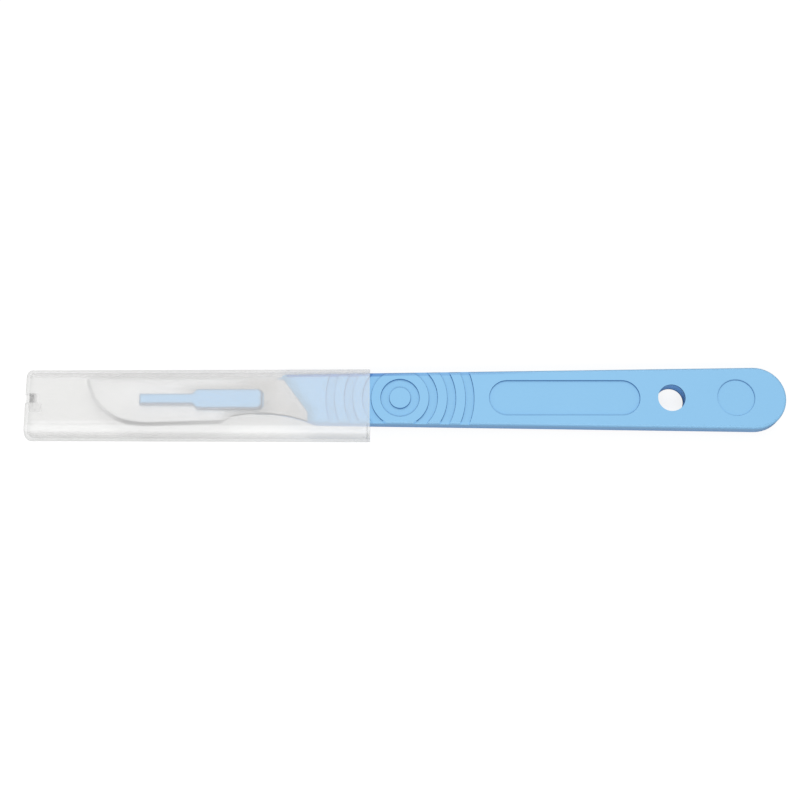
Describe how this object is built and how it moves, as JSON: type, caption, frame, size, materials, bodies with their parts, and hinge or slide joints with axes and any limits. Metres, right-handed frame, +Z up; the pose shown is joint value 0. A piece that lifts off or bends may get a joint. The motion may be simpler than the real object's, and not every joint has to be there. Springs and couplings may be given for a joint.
{
  "type": "disposable scalpel",
  "caption": "Flat plastic scalpel handle with a curved-belly steel blade locked on its boss, lying in a clear slide-off blade guard.",
  "frame": {"origin": "on the table, under the middle of the common box of the scalpel and its guard", "axes": "+X along the handle to its round tail, +Y across it towards the back of the blade, +Z up from the table"},
  "size_m": [0.1666, 0.0162, 0.0062],
  "materials": {
    "handle_plastic": "light blue moulded plastic with a satin face",
    "blade_steel": "ground and polished sheet steel",
    "guard_plastic": "clear, slightly milky moulded plastic"
  },
  "bodies": {
    "handle": {"handle": "handle_plastic", "blade": "blade_steel"},
    "guard": {"blade_guard": "guard_plastic"}
  },
  "joints": [
    {"name": "guard_slide", "type": "slide", "parent": "handle", "child": "guard", "axis": [-1, 0, 0], "range_m": [0, 0.07]}
  ]
}
